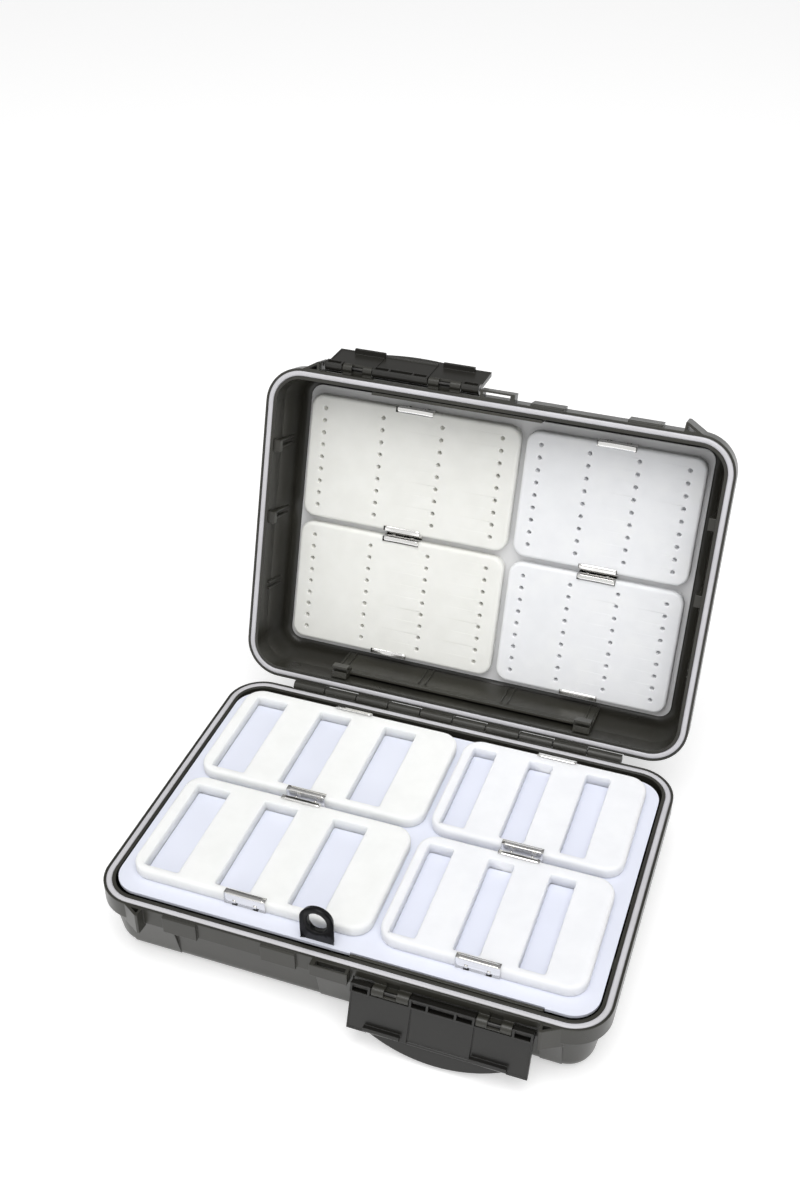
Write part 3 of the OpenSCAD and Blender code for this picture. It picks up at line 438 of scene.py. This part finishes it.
def wall(mesh, lower, upper):
    """Quads between two loops of the same length."""
    count = len(lower)
    for i in range(count):
        after = (i + 1) % count
        mesh.faces.new((lower[i], lower[after], upper[after], upper[i]))


def flat_fill(mesh, loops, facing_up=True):
    """Fills the flat face between an outer loop and the loops of its openings."""
    corners = [v for loop in loops for v in loop]
    for triangle in tessellate_polygon([[v.co for v in loop] for loop in loops]):
        face = mesh.faces.new([corners[i] for i in triangle])
        face.normal_update()
        if (face.normal.z > 0) != facing_up:
            face.normal_flip()


def new_piece(name, mesh, place, body, material, slot):
    """Turns a finished bmesh into a smooth-shaded piece that rides on a body."""
    bmesh.ops.recalc_face_normals(mesh, faces=mesh.faces)
    mesh.transform(place)
    data = bpy.data.meshes.new(name)
    mesh.to_mesh(data)
    mesh.free()
    data.shade_smooth()
    data.materials.append(material)
    piece = bpy.data.objects.new(name, data)
    bpy.context.scene.collection.objects.link(piece)
    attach(piece, body)
    return piece


print("a loop has", len(round_loop((0, 0), (1, 1), 0.1)), "points")

# %% [markdown]
# ## Foam panels
# A panel starts slightly narrow at its base, stands up straight, and turns into its face over a
# wide soft edge. The face is then filled round the openings, and each opening's wall drops down
# from its own small round edge.

# %% Panel builder
FACE_EDGE = 1.6 * MM
FOOT_TUCK = 0.7 * MM
FLAT_RING = 0.35 * MM  # a flat ring beside each round edge keeps the face's shading flat
FACE_STEPS = 6
OPENING_STEPS = 4


def foam_panel(name, size, corner, openings, opening_edge, depth, place, body, look):
    """A panel from x, y, z = 0. Each opening is a function that gives its loop for a growth."""
    mesh = bmesh.new()
    middle = (size.x / 2, size.y / 2)
    heights = [(-FOOT_TUCK, 0.0), (0.0, FOOT_TUCK)]
    heights += [(-inwards, size.z - FACE_EDGE + up)
                for inwards, up in edge_steps(FACE_EDGE, FACE_STEPS)]
    heights.append((-FACE_EDGE - FLAT_RING, size.z))
    rings = [add_loop(mesh, round_loop(middle, middle, corner, grow), z) for grow, z in heights]
    tops, floors = [rings[-1]], [rings[0]]
    for outline in openings:
        steps = [(inwards, size.z - opening_edge + up)
                 for inwards, up in edge_steps(opening_edge, OPENING_STEPS)]
        steps.append((opening_edge + FLAT_RING, size.z))
        holes = [add_loop(mesh, outline(grow), z)
                 for grow, z in [(0.0, size.z - depth)] + steps]
        for lower, upper in zip(holes, holes[1:]):
            wall(mesh, lower, upper)
        tops.append(holes[-1])
        if depth < size.z:
            mesh.faces.new(holes[0])
        else:
            floors.append(holes[0])
    for lower, upper in zip(rings, rings[1:]):
        wall(mesh, lower, upper)
    flat_fill(mesh, tops)
    flat_fill(mesh, floors, facing_up=False)
    piece = new_piece(name, mesh, place, body, *look)
    return piece


print("a panel's soft edge is", FACE_EDGE / MM, "mm")

# %% Slotted tray panels
TRAY_CORNER = 9.0 * MM
SLOT_EDGE = 0.5 * MM
SLOT_FRONT = 3.7 * MM
SLOT_BEHIND = 6.3 * MM
SLOT_CORNER = 1.0 * MM
# foam before the first opening, foam after the last, opening's width, scallop of its long edges
SLOTS = {
    "left": (6.1 * MM, 21.5 * MM, 17.0 * MM, 0.0),
    "right": (4.9 * MM, 17.8 * MM, 11.7 * MM, 0.22 * MM),
}
SLOT_COUNT = 3
SCALLOPS = 14


def slot_loop(middle, half, scallop):
    """An opening's outline for any growth, with its two long edges scalloped."""
    def outline(grow):
        corners = round_loop(middle, half, SLOT_CORNER, grow, 4)
        quarter = len(corners) // 4
        points = []
        for i, (x, y) in enumerate(corners):
            points.append((x, y))
            if (i + 1) % (2 * quarter) == 0:
                outwards = 1 if x > middle[0] else -1
                end = corners[(i + 1) % len(corners)][1]
                for k in range(1, 4 * SCALLOPS):
                    along = k / (4 * SCALLOPS)
                    swell = scallop * abs(math.sin(math.pi * SCALLOPS * along))
                    points.append((x + outwards * swell, y + (end - y) * along))
        return points
    return outline


for row in ("front", "rear"):
    for side, (first, last, width, scallop) in SLOTS.items():
        node = f"tray_foam_{row}_{side}"
        low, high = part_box(node)
        size = Vector(high) - Vector(low)
        pitch = (size.x - first - last - width) / (SLOT_COUNT - 1)
        length = size.y - SLOT_FRONT - SLOT_BEHIND
        half = (width / 2, length / 2)
        middles = [(first + width / 2 + i * pitch, SLOT_FRONT + length / 2)
                   for i in range(SLOT_COUNT)]
        slots = [slot_loop(middle, half, scallop) for middle in middles]
        panel = foam_panel(node + "_soft", size, TRAY_CORNER, slots, SLOT_EDGE, size.z,
                           Matrix.Translation(low), "base", tray_foams[side])
        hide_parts(node)

# %% Pierced lid panels
LID_CORNER = 6.5 * MM
HOLE_END = 6.7 * MM
HOLE_RADIUS = 1.15 * MM
HOLE_EDGE = 0.25 * MM
HOLE_DEPTH = 4.6 * MM
HOLE_SIDES = 14
HOLE_COUNT = 9
ROW_COUNT = 4
# edge to the first row, and last row to the edge
ROWS = {"left": (8.1 * MM, 9.1 * MM), "right": (7.6 * MM, 8.2 * MM)}


def hole_loop(middle):
    """A pierced hole's outline for any growth."""
    def outline(grow):
        turns = [math.tau * i / HOLE_SIDES for i in range(HOLE_SIDES)]
        radius = HOLE_RADIUS + grow
        return [(middle[0] + radius * math.cos(t), middle[1] + radius * math.sin(t)) for t in turns]
    return outline


for row in ("front", "rear"):
    for side, (first, last) in ROWS.items():
        node = f"lid_foam_{row}_{side}"
        low, high = box_in(node, lid_up)
        size = high - low
        row_pitch = (size.x - first - last) / (ROW_COUNT - 1)
        hole_pitch = (size.y - 2 * HOLE_END) / (HOLE_COUNT - 1)
        holes = [hole_loop((first + i * row_pitch, HOLE_END + j * hole_pitch))
                 for i in range(ROW_COUNT) for j in range(HOLE_COUNT)]
        corner = (low.x, high.y, high.z)
        face_down = Matrix.Translation(corner) @ Matrix.Rotation(math.pi, 4, "X")
        panel = foam_panel(node + "_soft", size, LID_CORNER, holes, HOLE_EDGE, HOLE_DEPTH,
                           lid_up @ face_down, "lid", lid_foams[side])
        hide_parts(node)

# %% [markdown]
# ## Spring clips
# A clip is one strip of thin steel. It comes up through the sheet on two narrow tabs, stands
# against the foam as a leaf, turns over the top in a small bend, and ends in a lip that flares up a
# little so that foam slips under. The flare is what makes a lip look dark: it mirrors the dim side
# of the room and not the white in front. A middle clip has two legs. On the lid a web joins them,
# and on the tray the front leg is a short hook on its two tabs.

# %% Clip builder
SHEET = 1.5 * MM  # thickness of the tray plate and the lid board
STEEL = 0.35 * MM
BEND = 0.3 * MM
LIP = 2.3 * MM
LIP_GAP = 0.15 * MM
TAB_PITCH = 10.0 * MM
TAB_WIDTH = 2.4 * MM
LUG_RISE = 1.5 * MM
LUG_SIZE = 1.5 * MM
LUG_PROUD = 0.3 * MM
FOOT_BEND = 0.1 * MM   # where a tab has turned under the sheet
FOOT_REACH = 2.0 * MM  # how far the turned tab reaches
BEND_STEPS = 5
LIP_SHARE = 0.5  # share of the dish where the lip starts


def strip(mesh, line, x_from, x_to, place, dish=0.0, stations=10):
    """A bent sheet along X. `line` is its middle as (y, z, share of the dish there)."""
    normals = []
    for i in range(len(line)):
        a, b = line[max(i - 1, 0)], line[min(i + 1, len(line) - 1)]
        run = Vector((b[0] - a[0], b[1] - a[1])).normalized()
        normals.append(Vector((-run.y, run.x)) * STEEL / 2)
    rings = []
    for k in range(stations + 1):
        x = x_from + (x_to - x_from) * k / stations
        bow = dish * (1 - (2 * k / stations - 1) ** 2)
        upper = [(y + n.x, z + n.y - bow * share) for (y, z, share), n in zip(line, normals)]
        lower = [(y - n.x, z - n.y - bow * share) for (y, z, share), n in zip(line, normals)]
        rings.append([mesh.verts.new(place @ Vector((x, y, z))) for y, z in upper + lower[::-1]])
    for a, b in zip(rings, rings[1:]):
        wall(mesh, a, b)
    for ring in (rings[0], rings[-1]):
        for i in range(len(line) - 1):
            mesh.faces.new((ring[i], ring[i + 1], ring[-2 - i], ring[-1 - i]))


def clip_leg(mesh, width, foam_top, leaf_foot, flare, dish, place):
    """One leg on two tabs, with the sheet's face at z = 0 and its foam towards +Y."""
    middle = -STEEL / 2
    leaf = [(middle, leaf_foot, 0.0), (middle, (leaf_foot + foam_top) / 2, 0.0)]
    centre = (middle + BEND, foam_top - BEND + STEEL + LIP_GAP)
    turns = [math.pi + (flare - math.pi / 2) * i / BEND_STEPS for i in range(BEND_STEPS + 1)]
    leaf += [(centre[0] + BEND * math.cos(t), centre[1] + BEND * math.sin(t),
              LIP_SHARE * i / BEND_STEPS) for i, t in enumerate(turns)]
    y, z, _ = leaf[-1]
    leaf += [(y + LIP * f * math.cos(flare), z + LIP * f * math.sin(flare),
              LIP_SHARE + (1 - LIP_SHARE) * f) for f in (0.5, 1.0)]
    strip(mesh, leaf, -width / 2, width / 2, place, dish)
    for x in (-TAB_PITCH / 2, TAB_PITCH / 2):
        ends = (x - TAB_WIDTH / 2, x + TAB_WIDTH / 2)
        under = -SHEET - STEEL / 2
        foot = [(middle, leaf_foot, 0.0), (middle, under + STEEL, 0.0), (FOOT_BEND, under, 0.0),
                (FOOT_REACH, under, 0.0)]
        strip(mesh, foot, *ends, place, stations=1)
        if leaf_foot < LUG_RISE:
            lug = [(middle - LUG_PROUD, rise, 0.0) for rise in (LUG_RISE, LUG_RISE + LUG_SIZE)]
            strip(mesh, lug, x - LUG_SIZE / 2, x + LUG_SIZE / 2, place, stations=1)


print("clip steel is", STEEL / MM, "mm")

# %% Clips
DISH = {"tray": 0.08 * MM, "lid": 0.35 * MM}
LEAF_RISE = 0.05 * MM  # where a full leaf starts above the sheet
HOOK = 1.5 * MM        # height of a short hook's leaf
FLARES = {  # degrees that each leg's lip flares up from its foam
    ("tray", "front", "left"): [0], ("tray", "front", "right"): [0],
    ("tray", "mid", "left"): [2, 4], ("tray", "mid", "right"): [2, 4],
    ("tray", "rear", "left"): [16], ("tray", "rear", "right"): [5],
    ("lid", "front", "left"): [4], ("lid", "front", "right"): [12],
    ("lid", "mid", "left"): [4, 4], ("lid", "mid", "right"): [8, 8],
    ("lid", "rear", "left"): [4], ("lid", "rear", "right"): [6],
}
for board in ("tray", "lid"):
    sheet_node = {"tray": "tray_plate", "lid": "lid_board"}[board]
    body = {"tray": "base", "lid": "lid"}[board]
    frame_up = lid_up if board == "lid" else level
    sheet_low, sheet_high = box_in(sheet_node, frame_up)
    face = sheet_low.z if board == "lid" else sheet_high.z
    facing = Matrix.Scale(-1, 4, (0, 0, 1)) if board == "lid" else level
    for row in ("front", "mid", "rear"):
        for side in ("left", "right"):
            node = f"{board}_{row}_clip_{side}"
            low, high = box_in(node, frame_up)
            middle_x = (low.x + high.x) / 2
            width = high.x - low.x
            foam_low, foam_high = box_in(f"{board}_foam_front_{side}", frame_up)
            foam_top = foam_high.z - foam_low.z
            behind_low, behind_high = box_in(f"{board}_foam_rear_{side}", frame_up)
            places = {"front": [(foam_low.y, 1)], "mid": [(foam_high.y, -1), (behind_low.y, 1)],
                      "rear": [(behind_high.y, -1)]}[row]
            flares = FLARES[board, row, side]
            mesh = bmesh.new()
            for (y, towards), flare in zip(places, flares):
                turn = Matrix.Scale(towards, 4, (0, 1, 0))
                stand = Matrix.Translation((middle_x, y, face)) @ facing @ turn
                hooked = board == "tray" and row == "mid" and towards < 0
                leaf_foot = foam_top - HOOK if hooked else LEAF_RISE
                clip_leg(mesh, width, foam_top, leaf_foot, math.radians(flare), DISH[board], stand)
            if row == "mid" and board == "lid":
                web = [(foam_high.y, STEEL, 0.0), (behind_low.y, STEEL, 0.0)]
                stand = Matrix.Translation((middle_x, 0, face)) @ facing
                strip(mesh, web, -width / 2, width / 2, stand)
            piece = new_piece(node + "_bent", mesh, frame_up, body, clip_steel, "clip_steel")
            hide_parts(node)

# %% [markdown]
# ## Finger ring
# The ring is a flat black tab with a big hole and rounded edges, so its outline is laid round the
# hole as a band of quads, whose sharp edges are then bevelled. The faces don't agree on a side yet
# when they are bevelled, so every edge swells outwards by the bevel's width.

# %% Finger ring
EYE = (4.7 * MM, 5.7 * MM)  # half width and half height of the ring's hole
EYE_DROP = 1.5 * MM  # how far the hole's middle lies below the middle of the arch
EYE_ROUND = 0.55 * MM
ARCH_STEPS = 24
SHARP = 1.0  # radians between faces that makes an edge sharp
low, high = (Vector(c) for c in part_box("finger_ring"))
size = high - low
arch = size.x / 2
eye_z = size.z - arch - EYE_DROP
outline = [(-arch, 0.0), (-arch * 0.5, 0.0), (0.0, 0.0), (arch * 0.5, 0.0), (arch, 0.0)]
outline += [(arch, (size.z - arch) * f) for f in (0.33, 0.66)]
turns = [math.pi * i / ARCH_STEPS for i in range(ARCH_STEPS + 1)]
outline += [(arch * math.cos(t), size.z - arch + arch * math.sin(t)) for t in turns]
outline += [(-arch, (size.z - arch) * f) for f in (0.66, 0.33)]
ring_mesh = bmesh.new()
loops = []
for y in (-size.y / 2, size.y / 2):
    outer = [ring_mesh.verts.new((x, y, z)) for x, z in outline]
    turns = [math.atan2(z - eye_z, x) for x, z in outline]
    inner = [ring_mesh.verts.new((EYE[0] * math.cos(t), y, eye_z + EYE[1] * math.sin(t)))
             for t in turns]
    wall(ring_mesh, outer, inner)
    loops.append((outer, inner))
wall(ring_mesh, loops[0][0], loops[1][0])
wall(ring_mesh, loops[0][1], loops[1][1])
ring_mesh.normal_update()
sharp = [e for e in ring_mesh.edges if e.calc_face_angle(0) > SHARP]
bmesh.ops.bevel(ring_mesh, geom=sharp, offset=EYE_ROUND, segments=3, profile=0.5, material=-1,
                affect="EDGES")
ring_place = Matrix.Translation(((low.x + high.x) / 2, (low.y + high.y) / 2, low.z))
ring = new_piece("finger_ring_moulded", ring_mesh, ring_place, "base", nylon, "dark_plastic")
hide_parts("finger_ring")
print("ring", [round(v * 1000, 1) for v in ring.dimensions])

# %% Finish
bpy.context.scene.view_settings.view_transform = "Standard"
